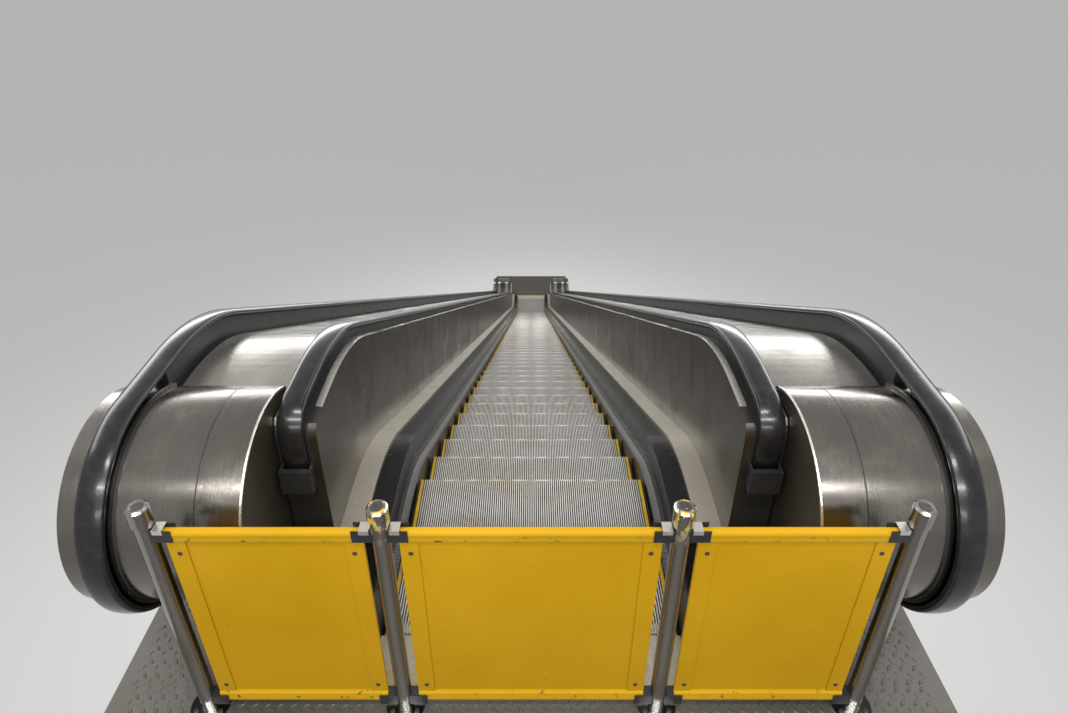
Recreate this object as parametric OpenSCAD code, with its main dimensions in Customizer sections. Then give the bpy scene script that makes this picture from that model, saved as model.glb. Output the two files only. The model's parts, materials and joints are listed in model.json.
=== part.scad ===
// Escalator with shared decks, newels, truss, trestles and a closed-off upper landing.
// Millimetres. X is across, Y runs down the flight, Z is up, and Z = 0 is the ground.
// Side frame: drawn in (Y, Z) with the extrusion across the machine, then turned by side().

/* [Flight] */
// Slope of the flight in degrees
slope = 30; // [27:0.5:35]
// Height between the landings, in step rises
flight_steps = 52; // [12:1:60]
// Depth of one tread along the step chain
tread_depth = 400; // [380:1:420]
// Gap between neighbouring steps
step_gap = 4; // [3:0.5:6]
// Radius of the upper bend of the step track
upper_bend = 900; // [800:10:1500]
// Radius of the lower bend of the step track
lower_bend = 1400; // [1000:10:1800]
// Landing length beyond the meeting point of slope and floor
landing_len = 2600; // [2400:10:3400]
// Length of level steps beside the combs, past the ends of the bends
level_len = 410; // [410:5:900]

/* [Steps] */
// Width of a step
step_w = 1000; // [800:5:1100]
// Thickness of the tread plate
tread_t = 22; // [16:1:30]
// Thickness of the curved riser
riser_t = 14; // [8:1:20]
// Height of the cleats that stand on the tread
cleat_h = 10; // [6:1:12]
// Radius of a step roller
roller_r = 38; // [30:1:45]
// Depth of the roller axle under the tread
axle_drop = 200; // [190:1:215]
// Thickness of a step's side yoke
yoke_t = 12; // [8:1:20]
// Distance of a yoke from the edge of the step
yoke_inset = 60; // [45:1:90]

/* [Balustrade] */
// Running gap between step and skirt
skirt_gap = 4; // [2:0.5:5]
// Thickness of the skirt sheet
skirt_t = 8; // [4:1:12]
// Height of the skirt above the steps
skirt_h = 225; // [200:1:260]
// Width of the black inner decking
ledge_w = 72; // [60:1:76]
// Width of the bright bevelled strip
bevel_w = 84; // [70:1:86]
// Rise across the bevelled strip
bevel_h = 24; // [12:1:36]
// Thickness of decking and strip
trim_t = 14; // [8:1:18]
// Thickness of the inner panels
panel_t = 26; // [16:1:34]
// Height of the deck above the steps
deck_h = 770; // [700:5:900]
// Thickness of the deck sheet
deck_t = 20; // [12:1:28]
// Distance from the machine's middle to the inner handrail
inner_rail_x = 742; // [738:1:744]
// Distance from the machine's middle to the outer handrail
outer_rail_x = 1200; // [1160:5:1300]
// Width of the outer edge strip of the deck
edge_w = 60; // [40:1:90]
// Thickness of the side cladding
clad_t = 18; // [10:1:26]
// Length of one panel section
panel_len = 2400; // [1800:50:3200]
// Joint between two sections
joint_gap = 2; // [1:0.5:4]

/* [Handrails] */
// Width of a handrail
rail_w = 80; // [70:1:86]
// Thickness of a handrail
rail_t = 28; // [22:1:34]
// Height of the handrail guide above the deck
guide_h = 24; // [16:1:34]
// Width of the handrail guide
guide_w = 44; // [36:1:52]
// Height of the outer handrail above the inner one
outer_lift = 60; // [20:1:90]
// Working clearance around handrails
rail_clear = 0.3; // [0.2:0.1:1]

/* [Newels] */
// Radius of the newel drum
drum_r = 325; // [290:1:335]
// Height of the handrail's lower run at the newel
rail_return = 170; // [120:5:200]
// Distance from the comb back to the drum's middle, towards the landing
drum_back = -160; // [-200:5:60]
// Distance from the machine's middle to the drum's face
face_x = 800; // [796:1:840]
// Reach of the inner wall past the drum's middle, towards the landing
wall_ahead = -20; // [-60:5:140]
// Radius at which the inner handrail turns down over the end of the wall
nose_r = 110; // [80:5:140]
// Drop of the inner handrail below that turn
nose_drop = 150; // [100:5:220]
// Thickness of the rim round the drum's face
rim_t = 8; // [5:1:14]
// Depth of the drum's recessed face
face_recess = 10; // [6:1:18]
// Width of the pedestal under the drum
pedestal_w = 250; // [200:5:300]
// Length of the pedestal under the drum
pedestal_len = 330; // [280:5:380]
// Height of the dark skirting round the pedestal
skirting_h = 90; // [60:5:120]

/* [Combs] */
// Spacing of the comb teeth
tooth_pitch = 9; // [8:0.5:12]
// Length of a comb tooth
tooth_len = 45; // [30:1:60]
// Depth of the comb plate
comb_depth = 170; // [120:5:240]
// Thickness of the landing plates
floor_t = 30; // [20:1:45]

/* [Truss] */
// Depth of the truss below the steps
truss_depth = 1050; // [950:10:1300]
// Height of the lower feet
foot_h = 150; // [100:10:400]
// Width of a truss bar
bar_w = 90; // [70:5:120]
// Thickness of a truss side
truss_t = 80; // [60:5:100]
// Length of one truss bay
bay_len = 1300; // [1100:50:1700]
// Thickness of the soffit
soffit_t = 16; // [10:1:24]
// Width of a trestle leg
leg_w = 200; // [160:5:260]
// Distance of the end legs from the ends of the machine
leg_edge = 400; // [350:10:600]
// Distance of the inner leg from the foot of the slope
leg_back = 600; // [500:10:900]
// Thickness of the base plates
base_t = 30; // [20:1:40]
// Diameter of an anchor hole
anchor_d = 27; // [22:1:33]

/* [Barrier] */
// Height of the barrier posts
post_h = 860; // [810:5:1000]
// Diameter of the barrier posts
post_d = 48; // [38:1:60]
// Distance from the middle to the outer posts
outer_post_x = 985; // [900:5:1040]
// Distance from the middle to the middle posts
mid_post_x = 385; // [330:5:430]
// Distance from the newel drums' front to the posts
barrier_gap = 65; // [62:1:120]
// Height of the yellow boards
board_h = 735; // [600:5:740]
// Thickness of the boards
board_t = 3; // [2:0.5:6]

/* [Hidden] */
$fn = 48;

chain_pitch = tread_depth + step_gap;
rise = flight_steps * chain_pitch * sin(slope);
run = rise / tan(slope);
total_len = run + 2 * landing_len;
y_top = landing_len - total_len / 2;
y_low = y_top + run;
z_low = foot_h + truss_depth;
z_top = z_low + rise;
upper_tan = upper_bend * tan(slope / 2);
lower_tan = lower_bend * tan(slope / 2);
bend_len_top = upper_bend * slope * PI / 180;
bend_len_low = lower_bend * slope * PI / 180;
incline_len = run / cos(slope) - upper_tan - lower_tan;
line_len = bend_len_top + incline_len + bend_len_low;
first_step = chain_pitch - level_len;
step_count = ceil((line_len + level_len - first_step) / chain_pitch) + 1;
last_step = first_step + (step_count - 1) * chain_pitch;
comb_top_y = y_top - upper_tan - level_len;
comb_low_y = y_low + lower_tan + last_step - line_len + step_gap;
drum_top_y = comb_top_y - drum_back;
drum_low_y = comb_low_y + drum_back;
bend_parts = 12;

skirt_x = step_w / 2 + skirt_gap;
ledge_x = skirt_x + skirt_t;
bevel_x = ledge_x + ledge_w;
panel_x = bevel_x + bevel_w;
core_x = panel_x + panel_t;
inner_deck_x = inner_rail_x + rail_w / 2 + 10;
groove_w = rail_w + 12;
groove_in = outer_rail_x - groove_w / 2;
groove_out = outer_rail_x + groove_w / 2;
side_x = groove_out + edge_w;
core_out = side_x - clad_t;
rail_v = deck_h + guide_h + rail_clear + rail_t / 2 / cos(slope);
outer_v = rail_v + outer_lift;
loop_r = (outer_v - rail_return) / 2;
drum_v = outer_v - loop_r;
core_bottom = -150;
board_y = drum_top_y - drum_r - barrier_gap;

// Point of the step line's upper bend, slid up by v and offset square to the line by n
function upper_arc(v, n, a) =
    [y_top - upper_tan + (upper_bend + n) * sin(a), z_top + v - upper_bend + (upper_bend + n) * cos(a)];
function lower_arc(v, n, a) =
    [y_low + lower_tan - (lower_bend - n) * sin(a), z_low + v + lower_bend - (lower_bend - n) * cos(a)];

// Points of the whole line from the upper landing to the lower one
function line_points(v, n, y0, y1) = concat([[y0, z_top + v + n]],
    [for (i = [0:bend_parts]) upper_arc(v, n, slope * i / bend_parts)],
    [for (i = [bend_parts:-1:0]) lower_arc(v, n, slope * i / bend_parts)],
    [[y1, z_low + v + n]]);
function backwards(points) = [for (i = [len(points) - 1:-1:0]) points[i]];

// Position on the step line at a distance s past the upper bend's start
function step_point(s) =
    s < 0 ? [y_top - upper_tan + s, z_top]
    : s < bend_len_top ? upper_arc(0, 0, s / upper_bend * 180 / PI)
    : s < bend_len_top + incline_len
        ? upper_arc(0, 0, slope) + (s - bend_len_top) * [cos(slope), -sin(slope)]
    : s < bend_len_top + incline_len + bend_len_low
        ? lower_arc(0, 0, slope - (s - bend_len_top - incline_len) / lower_bend * 180 / PI)
    : [y_low + lower_tan + s - bend_len_top - incline_len - bend_len_low, z_low];

// Turn from the side frame into the machine's frame
module side() {
    rotate([90, 0, 90]) children();
}

// Plate between two side-frame outlines, from x0 to x1, on one or both sides
module across(x0, x1) {
    side() translate([0, 0, x0]) linear_extrude(x1 - x0) children();
}

module both_sides() {
    children();
    mirror([1, 0, 0]) children();
}

// Band that follows the step line between the heights v0 and v1
module band(v0, v1, y0, y1) {
    polygon(concat(line_points(v0, 0, y0, y1), backwards(line_points(v1, 0, y0, y1))));
}

// The same band cut into panel sections with joints between them
module jointed_band(v0, v1, y0, y1, section) {
    difference() {
        band(v0, v1, y0, y1);
        for (y = [y_top + section / 2 : section : y_low])
            translate([y, z_low - truss_depth]) square([joint_gap, rise + 2 * truss_depth + deck_h]);
    }
}

newel_top_y = drum_top_y + drum_r * 0.55;
newel_low_y = drum_low_y - drum_r * 0.55;
wall_top_y = drum_top_y - wall_ahead;
wall_low_y = drum_low_y + wall_ahead;
nose_in = nose_r - rail_t / 2 - rail_clear;
nose_v = rail_v - nose_r;
wall_out = face_x - 2;

// Ends of the inner wall, rounded where the inner handrail turns down
module rounded_ends() {
    difference() {
        children();
        for (e = [[wall_top_y, z_top, 1], [wall_low_y, z_low, -1]])
            translate([e[0] + e[2] * nose_in, e[1] + nose_v]) scale([e[2], 1]) difference() {
                translate([-2 * nose_r, 0]) square(2 * nose_r);
                circle(r = nose_in, $fn = 96);
            }
    }
}

// Landings: a plate with wings beside the comb that reach the wall and the drums' back
plate_gap = 0.4;
module landing_plate(len, wall, newel) {
    color("#6d6a64") {
        translate([-side_x, 0, -floor_t]) cube([2 * side_x, len - plate_gap, floor_t]);
        both_sides() {
            translate([ledge_x + plate_gap, len - 1, -floor_t])
                cube([face_x - ledge_x, wall - len + 1 - plate_gap, floor_t]);
            translate([face_x, len - 1, -floor_t])
                cube([side_x - face_x, newel - len + 1 - plate_gap, floor_t]);
        }
    }
}
module landing_plate_upper() {
    y0 = -total_len / 2;
    translate([0, y0, z_top])
        landing_plate(comb_top_y - comb_depth - y0, wall_top_y - y0, newel_top_y - y0);
}
module landing_plate_lower() {
    y1 = total_len / 2;
    translate([0, y1, z_low]) mirror([0, 1, 0])
        landing_plate(y1 - comb_low_y - comb_depth, y1 - wall_low_y, y1 - newel_low_y);
}

// Comb with its teeth, drawn in plan with the teeth towards +Y
teeth = floor(step_w / tooth_pitch) - 1;
module comb(dir, y, z) {
    tooth_w = tooth_pitch * 0.4;
    start = -teeth * tooth_pitch / 2;
    outline = concat([[-skirt_x, -comb_depth], [-skirt_x, 0]],
        [for (i = [0:teeth - 1], p = [0:3])
            [start + (i + 0.5) * tooth_pitch + (p < 2 ? -1 : 1) * tooth_w / (p == 1 || p == 2 ? 3 : 2),
                p == 1 || p == 2 ? tooth_len : 0]],
        [[skirt_x, 0], [skirt_x, -comb_depth]]);
    color("#b9b4a6") translate([0, y, z]) mirror([0, dir < 0 ? 1 : 0, 0]) {
        translate([0, 0, -cleat_h + 2]) linear_extrude(cleat_h - 3) polygon(outline);
        translate([-skirt_x, -comb_depth, -floor_t]) cube([2 * skirt_x, comb_depth - 10, floor_t]);
    }
}
module comb_upper() {
    comb(1, comb_top_y, z_top);
}
module comb_lower() {
    comb(-1, comb_low_y, z_low);
}

// Steps. The riser's arc is centred on the tread's own back edge, so that the gap to the next
// step stays the same while the flight bends.
module step_body() {
    top = -cleat_h;
    riser_drop = slope + 1;
    riser = [for (a = [0:-riser_drop / 6:-riser_drop]) tread_depth * [cos(a), sin(a)]];
    inside = [for (a = [-riser_drop:riser_drop / 6:-4]) (tread_depth - riser_t) * [cos(a), sin(a)]];
    across(-step_w / 2, step_w / 2) difference() {
        translate([-tread_depth, 0]) union() {
            polygon(concat(riser, inside, [[tread_depth * 0.7, top], [tread_depth * 0.7, 0]]));
            translate([0, top - tread_t]) square([tread_depth - 1, tread_t]);
        }
        translate([-tread_depth, top]) square([2 * tread_depth, -top + 1]);
    }
    both_sides() across(step_w / 2 - yoke_inset - yoke_t, step_w / 2 - yoke_inset)
        polygon([[-tread_depth + 8, top - tread_t + 1], [-riser_t - 8, top - tread_t + 1],
            [-tread_depth * 0.17, -axle_drop * 0.85], [-tread_depth * 0.42, -axle_drop - 12],
            [-tread_depth * 0.52, -axle_drop - 12]]);
    both_sides() side() translate([-tread_depth * 0.47, -axle_drop, step_w / 2 - yoke_inset - 1])
        cylinder(r = roller_r, h = yoke_inset - 24, $fn = 32);
}
steps_per_node = ceil(step_count / 6);
module steps(group) {
    color("#8d8d88") for (i = [group * steps_per_node : min(step_count, (group + 1) * steps_per_node) - 1]) {
        p = step_point(first_step + i * chain_pitch);
        translate([0, p[0], p[1]]) step_body();
    }
}

// Bed that carries the step rollers, in sections
bed_back = -tread_depth * 0.47;
bed_clear = 0.5;
module track_bed() {
    y0 = comb_top_y - comb_depth;
    y1 = comb_low_y + comb_depth;
    color("#3b3b3a") across(-step_w / 2 + 24, step_w / 2 - 24) difference() {
        polygon(concat(
            [for (p = line_points(-axle_drop, -roller_r - bed_clear, y0 - bed_back, y1 - bed_back))
                p + [bed_back, 0]],
            backwards(line_points(-truss_depth + soffit_t, 0, y0, y1))));
        for (y = [y_top + 100, y_low - 300])
            translate([y, 0]) square([joint_gap, z_top + deck_h]);
    }
}

// Closed ends of the truss under the landing plates
module machine_housing(y0, y1, z) {
    color("#4b4d4e") translate([-core_out + truss_t, y0, z - truss_depth + soffit_t])
        cube([2 * (core_out - truss_t), y1 - y0, truss_depth - soffit_t - floor_t]);
}
module machine_housing_upper() {
    machine_housing(-total_len / 2 + 40, comb_top_y - comb_depth - joint_gap, z_top);
}
module machine_housing_lower() {
    machine_housing(comb_low_y + comb_depth + joint_gap, total_len / 2 - 40, z_low);
}

// Balustrade, from the steps outwards
module skirts() {
    color("#1b1b1c") both_sides() across(skirt_x, ledge_x)
        jointed_band(core_bottom, skirt_h, comb_top_y - comb_depth, comb_low_y + comb_depth, panel_len);
}
brush_v = 95;
module skirt_brush_rails() {
    color("#a3a19b") both_sides() across(skirt_x - 12, skirt_x)
        band(brush_v, brush_v + 34, comb_top_y + 90, comb_low_y - 90);
}
module inner_ledges() {
    color("#161617") both_sides() across(skirt_x, bevel_x)
        band(skirt_h, skirt_h + trim_t, wall_top_y, wall_low_y);
}
module bevel_strips() {
    color("#cfc9b8") both_sides() across(bevel_x, panel_x)
        jointed_band(skirt_h, skirt_h + trim_t + bevel_h / 2, wall_top_y, wall_low_y, panel_len);
}
module inner_panels() {
    color("#77736b") across(panel_x, core_x) rounded_ends()
        jointed_band(skirt_h, deck_h - 14, wall_top_y, wall_low_y, panel_len);
}
module inner_panels_left() {
    mirror([1, 0, 0]) inner_panels();
}
module inner_panels_right() {
    inner_panels();
}

// The two pieces of the inner wall that stand beside the drums, lapped by a small length
module wall_ends(v0, v1, lap) {
    translate([wall_top_y, z_top + v0]) square([newel_top_y - wall_top_y + lap, v1 - v0]);
    translate([newel_low_y - lap, z_low + v0]) square([wall_low_y - newel_low_y + lap, v1 - v0]);
}
module balustrade_core() {
    color("#2a2a2b") {
        across(ledge_x, core_out) jointed_band(core_bottom, skirt_h,
            newel_top_y, newel_low_y, panel_len * 3);
        across(core_x, core_out) jointed_band(skirt_h, deck_h - deck_t,
            newel_top_y, newel_low_y, panel_len * 3);
        across(ledge_x, wall_out) wall_ends(core_bottom, skirt_h, 1);
        across(core_x, wall_out) rounded_ends() wall_ends(skirt_h, deck_h - deck_t, 1);
    }
}
module balustrade_core_left() {
    mirror([1, 0, 0]) balustrade_core();
}
module balustrade_core_right() {
    balustrade_core();
}
module deck_sheets() {
    color("#a5a29c") {
        across(inner_deck_x, groove_in)
            jointed_band(deck_h - deck_t, deck_h, newel_top_y, newel_low_y, panel_len);
        across(inner_deck_x, wall_out) rounded_ends() wall_ends(deck_h - deck_t, deck_h, 1);
        across(groove_out, side_x)
            jointed_band(deck_h - deck_t, deck_h, newel_top_y, newel_low_y, panel_len);
    }
}
module deck_left() {
    mirror([1, 0, 0]) deck_sheets();
}
module deck_right() {
    deck_sheets();
}
module side_cladding() {
    color("#8d8a84") across(core_out, side_x)
        jointed_band(core_bottom, deck_h - deck_t, newel_top_y, newel_low_y, panel_len);
}
module side_cladding_left() {
    mirror([1, 0, 0]) side_cladding();
}
module side_cladding_right() {
    side_cladding();
}
module handrail_guides() {
    color("#232324") both_sides() {
        across(inner_rail_x - guide_w / 2, inner_rail_x + guide_w / 2) rounded_ends()
            band(deck_h - deck_t, deck_h + guide_h, wall_top_y, wall_low_y);
        across(outer_rail_x - guide_w / 2, outer_rail_x + guide_w / 2)
            band(deck_h - deck_t, deck_h + guide_h + outer_lift, newel_top_y, newel_low_y);
    }
}

// Handrails: an oval belt swept along straights and arcs, drawn as (outwards, across)
function rail_outline(sign) = [for (a = [0:15:345])
    [sign * rail_t / 2 * (abs(sin(a)) < 0.01 ? 0 : sin(a) / abs(sin(a)) * pow(abs(sin(a)), 0.6)),
        rail_w / 2 * cos(a)]];
module rail_run(p, q) {
    d = q - p;
    translate([p[0], p[1], 0]) rotate([0, 0, atan2(d[1], d[0])]) rotate([90, 0, 90])
        linear_extrude(norm(d)) polygon(rail_outline(1));
}
module rail_bend(c, r, a0, a1, sign) {
    translate([c[0], c[1], 0]) rotate([0, 0, a0])
        rotate_extrude(angle = a1 - a0, $fn = 96) translate([r, 0]) polygon(rail_outline(sign));
}
// The flight of a handrail. Its pieces are drawn from the centres of the bends and lap a little.
lap = 0.2;
module rail_flight(v, y0, y1) {
    top = upper_arc(v, 0, 0) - [0, upper_bend];
    low = lower_arc(v, 0, 0) + [0, lower_bend];
    start = upper_bend * [sin(slope), cos(slope)];
    down = [cos(slope), -sin(slope)];
    translate(top) {
        rail_run([y0 - top[0] - lap, upper_bend], [lap, upper_bend]);
        rail_bend([0, 0], upper_bend, 90 - slope, 90, 1);
        rail_run(start - lap * down, start + (incline_len + lap) * down);
    }
    translate(low) {
        rail_bend([0, 0], lower_bend, 270 - slope, 270, -1);
        rail_run([-lap, -lower_bend], [y1 - low[0] + lap, -lower_bend]);
    }
}
module rail_nose(y, z, dir) {
    translate([y + dir * nose_in, z + nose_v]) mirror([dir < 0 ? 1 : 0, 0, 0]) {
        rail_bend([0, 0], nose_r, 90, 180, 1);
        rail_run([-nose_r, lap], [-nose_r, -nose_drop]);
    }
}
module handrail_inner() {
    color("#0d0d0e") side() translate([0, 0, inner_rail_x]) {
        rail_flight(rail_v, wall_top_y + nose_in, wall_low_y - nose_in);
        rail_nose(wall_top_y, z_top, 1);
        rail_nose(wall_low_y, z_low, -1);
    }
}
module handrail_inner_left() {
    mirror([1, 0, 0]) handrail_inner();
}
module handrail_inner_right() {
    handrail_inner();
}
module rail_loop(y, z, dir) {
    tail = 60;
    translate([y, z + drum_v]) mirror([dir < 0 ? 1 : 0, 0, 0]) {
        rail_bend([0, 0], loop_r, 90, 270, 1);
        rail_run([-lap, -loop_r], [tail, -loop_r]);
    }
}
module handrail_outer() {
    color("#0d0d0e") side() translate([0, 0, outer_rail_x]) {
        rail_flight(outer_v, drum_top_y, drum_low_y);
        rail_loop(drum_top_y, z_top, 1);
        rail_loop(drum_low_y, z_low, -1);
    }
}
module handrail_outer_left() {
    mirror([1, 0, 0]) handrail_outer();
}
module handrail_outer_right() {
    handrail_outer();
}

// Newels. The drum's big cylinder has a groove for the outer handrail and a recessed face.
hub_r = loop_r - rail_t / 2 - rail_clear;
module newel_drum(y, z, dir) {
    color("#b0ada6") side() difference() {
        translate([y, z, 0]) union() {
            translate([0, 0, face_x]) cylinder(r = drum_r, h = groove_in - face_x, $fn = 96);
            translate([0, 0, groove_in]) cylinder(r = hub_r, h = groove_w, $fn = 96);
            translate([0, 0, groove_out]) cylinder(r = drum_r, h = side_x - groove_out, $fn = 96);
        }
        translate([y, z, face_x - 1]) cylinder(r = drum_r - rim_t, h = face_recess + 1, $fn = 96);
        translate([dir > 0 ? newel_top_y - 1 : newel_low_y - 2 * drum_r + 1, z - 2 * drum_r, 0])
            cube([2 * drum_r, 4 * drum_r, side_x + 10]);
    }
}
module newel_drums_upper() {
    both_sides() newel_drum(drum_top_y, z_top + drum_v, 1);
}
module newel_drums_lower() {
    both_sides() newel_drum(drum_low_y, z_low + drum_v, -1);
}
module newel_face(y, z, dir) {
    color("#57534c") side() difference() {
        translate([y, z, face_x + 2]) cylinder(r = drum_r - rim_t - 0.3, h = face_recess - 2, $fn = 96);
        translate([dir > 0 ? newel_top_y - 2 : newel_low_y - 2 * drum_r + 2, z - 2 * drum_r, 0])
            cube([2 * drum_r, 4 * drum_r, side_x]);
    }
}
module newel_faces() {
    both_sides() {
        newel_face(drum_top_y, z_top + drum_v, 1);
        newel_face(drum_low_y, z_low + drum_v, -1);
    }
}
module newel_pedestal(y, z, dir) {
    x0 = (face_x + groove_in - pedestal_w) / 2;
    y0 = dir > 0 ? newel_top_y - pedestal_len : newel_low_y;
    color("#8c877c") difference() {
        union() {
            translate([x0, y0, z]) cube([pedestal_w, pedestal_len, drum_v]);
            translate([x0 - 6, y0 - 6, z]) cube([pedestal_w + 12, pedestal_len + 6, skirting_h]);
        }
        side() translate([y, z + drum_v, 0]) cylinder(r = drum_r + rail_clear, h = side_x, $fn = 96);
        translate([0, dir > 0 ? newel_top_y - 1 : newel_low_y - 99, z - 1])
            cube([side_x, 100, drum_v + 2]);
    }
}
module newel_pedestals_upper() {
    both_sides() newel_pedestal(drum_top_y, z_top, 1);
}
module newel_pedestals_lower() {
    both_sides() newel_pedestal(drum_low_y, z_low, -1);
}

// Collar through which the inner handrail enters the end of the wall
module handrail_inlet(y, z, dir) {
    wall = 10;
    depth = rail_t + 2 * wall;
    height = nose_drop * 0.6;
    color("#1c1c1d") translate([inner_rail_x, y, z + nose_v - nose_drop - 30])
        mirror([0, dir < 0 ? 1 : 0, 0]) difference() {
            translate([-rail_w / 2 - wall, -depth, 0]) cube([rail_w + 2 * wall, depth, height]);
            translate([-rail_w / 2 - 2, -rail_t - 2, 30]) cube([rail_w + 4, rail_t + 2.3, height]);
        }
}
module handrail_inlets() {
    both_sides() {
        handrail_inlet(wall_top_y, z_top, 1);
        handrail_inlet(wall_low_y, z_low, -1);
    }
}
module deck_end_boxes() {
    box = [150, 260, 190];
    color("#26282b") both_sides()
        translate([(inner_deck_x + groove_in - box[0]) / 2, newel_low_y - box[1] - 20, z_low + deck_h])
            cube(box);
}

// Truss side: two chords, uprights and diagonals in one plate
module truss_bar(p, q) {
    d = q - p;
    translate(p) rotate(atan2(d[1], d[0])) translate([0, -bar_w / 2]) square([norm(d), bar_w]);
}
function truss_z(y) = y < y_top ? z_top : y > y_low ? z_low : z_top - (y - y_top) * tan(slope);
truss_y0 = -total_len / 2;
truss_bays = round(total_len / bay_len);
module truss_side() {
    step = (total_len - bar_w) / truss_bays;
    ys = [for (i = [0:truss_bays]) truss_y0 + bar_w / 2 + i * step];
    low = core_bottom - bar_w;
    color("#5a6066") across(core_out - truss_t, core_out) {
        band(core_bottom - bar_w, core_bottom, truss_y0, total_len / 2);
        band(-truss_depth + soffit_t, -truss_depth + soffit_t + bar_w, truss_y0, total_len / 2);
        intersection() {
            band(-truss_depth + soffit_t, core_bottom, truss_y0, total_len / 2);
            union() {
                for (y = ys) translate([y - bar_w / 2, 0]) square([bar_w, z_top]);
                for (i = [0:truss_bays - 1]) truss_bar(
                    [ys[i], truss_z(ys[i]) + (i % 2 == 0 ? low : -truss_depth + bar_w)],
                    [ys[i + 1], truss_z(ys[i + 1]) + (i % 2 == 0 ? -truss_depth + bar_w : low)]);
            }
        }
    }
}
module truss_side_left() {
    mirror([1, 0, 0]) truss_side();
}
module truss_side_right() {
    truss_side();
}
module truss_soffit() {
    color("#6b7074") across(-core_out, core_out)
        jointed_band(-truss_depth, -truss_depth + soffit_t, truss_y0, total_len / 2, panel_len * 3);
}

// Trestles: legs cut to the soffit's line, base plates with anchor holes, ties between the legs
leg_x = core_out - leg_w;
anchor_edge = 55;
module trestle_leg(x, y) {
    half = leg_w / 2;
    plate = leg_w + 200;
    translate([x, 0, 0]) across(-half, half) difference() {
        translate([y - half, base_t]) square([leg_w, z_top]);
        translate([0, -truss_depth]) polygon(concat(
            [for (p = line_points(-rail_clear, 0, truss_y0 - 1, total_len / 2 + 1)) p],
            [[total_len / 2 + 1, 2 * z_top], [truss_y0 - 1, 2 * z_top]]));
    }
    difference() {
        translate([x - plate / 2, y - plate / 2, 0]) cube([plate, plate, base_t]);
        for (sx = [-1, 1], sy = [-1, 1])
            translate([x + sx * (plate / 2 - anchor_edge), y + sy * (plate / 2 - anchor_edge), -1])
                cylinder(d = anchor_d, h = base_t + 2);
    }
}
module trestle(ys) {
    tie_gap = 2200;
    tie_t = 100;
    color("#5c6064") {
        for (x = [-leg_x, leg_x], y = ys) trestle_leg(x, y);
        for (y = ys, z = [tie_gap : tie_gap : truss_z(y) - truss_depth - 400])
            translate([-leg_x, y - tie_t / 2, z]) cube([2 * leg_x, tie_t, tie_t]);
    }
}
module trestle_lower() {
    trestle([y_low - leg_back, total_len / 2 - leg_edge]);
}
module trestle_middle() {
    trestle([y_top + run * 0.3, y_top + run * 0.64]);
}
module trestle_upper() {
    trestle([-total_len / 2 + leg_edge, y_top - leg_w]);
}

// Barrier across the upper landing
flange_d = 118;
module barrier_post(x) {
    translate([x, board_y, z_top]) {
        cylinder(d = flange_d, h = 8);
        cylinder(d = post_d, h = post_h - 60);
        translate([0, 0, post_h - 60]) cylinder(d = post_d - 3, h = 4);
        translate([0, 0, post_h - 56]) cylinder(d = post_d + 8, h = 50);
        translate([0, 0, post_h - 6]) cylinder(d1 = post_d + 8, d2 = post_d - 4, h = 6, $fn = 32);
    }
}
module barrier_posts() {
    color("#b9b6ae") for (x = [-outer_post_x, -mid_post_x, mid_post_x, outer_post_x]) barrier_post(x);
}
rail_d = 26;
post_clear = 22;
board_bottom = 45;
module barrier_board(x0, x1) {
    w = x1 - x0 - post_d - 2 * post_clear;
    xs = x0 + post_d / 2 + post_clear;
    color("#c39412") translate([xs, board_y, z_top + board_bottom]) {
        translate([0, -board_t / 2, rail_d / 2]) cube([w, board_t, board_h - rail_d]);
        for (z = [rail_d / 2, board_h - rail_d / 2])
            translate([0, 0, z]) rotate([0, 90, 0]) cylinder(d = rail_d, h = w);
        for (x = [0, w - 30])
            translate([x, -board_t / 2 - 3, rail_d]) cube([30, board_t + 6, board_h - 2 * rail_d]);
    }
}
module barrier_board_left() {
    barrier_board(-outer_post_x, -mid_post_x);
}
module barrier_board_centre() {
    barrier_board(-mid_post_x, mid_post_x);
}
module barrier_board_right() {
    barrier_board(mid_post_x, outer_post_x);
}
module barrier_clip(x, dir, z) {
    translate([x, board_y, z_top + z]) mirror([dir < 0 ? 1 : 0, 0, 0]) difference() {
        translate([0, -16, -20]) cube([post_d / 2 + post_clear + 26, 32, 40]);
        translate([0, 0, -21]) cylinder(d = post_d + 2 * rail_clear, h = 42);
        translate([post_d / 2 + post_clear - rail_clear, -rail_d / 2 - rail_clear, -21])
            cube([60, rail_d + 2 * rail_clear, 42]);
        translate([-post_d, -20, -21]) cube([post_d, 40, 42]);
    }
}
module barrier_clips() {
    color("#17181a") for (z = [board_bottom + rail_d / 2, board_bottom + board_h - rail_d / 2]) {
        for (x = [-outer_post_x, -mid_post_x, mid_post_x]) barrier_clip(x, 1, z);
        for (x = [-mid_post_x, mid_post_x, outer_post_x]) barrier_clip(x, -1, z);
    }
}

landing_plate_upper();
landing_plate_lower();
comb_upper();
comb_lower();
steps(0);  // steps_1
steps(1);  // steps_2
steps(2);  // steps_3
steps(3);  // steps_4
steps(4);  // steps_5
steps(5);  // steps_6
track_bed();
machine_housing_upper();
machine_housing_lower();
skirts();
skirt_brush_rails();
inner_ledges();
bevel_strips();
inner_panels_left();
inner_panels_right();
balustrade_core_left();
balustrade_core_right();
deck_left();
deck_right();
side_cladding_left();
side_cladding_right();
handrail_guides();
handrail_inner_left();
handrail_inner_right();
handrail_outer_left();
handrail_outer_right();
newel_drums_upper();
newel_drums_lower();
newel_faces();
newel_pedestals_upper();
newel_pedestals_lower();
handrail_inlets();
deck_end_boxes();
truss_side_left();
truss_side_right();
truss_soffit();
trestle_lower();
trestle_middle();
trestle_upper();
barrier_posts();
barrier_board_left();
barrier_board_centre();
barrier_board_right();
barrier_clips();
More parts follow.
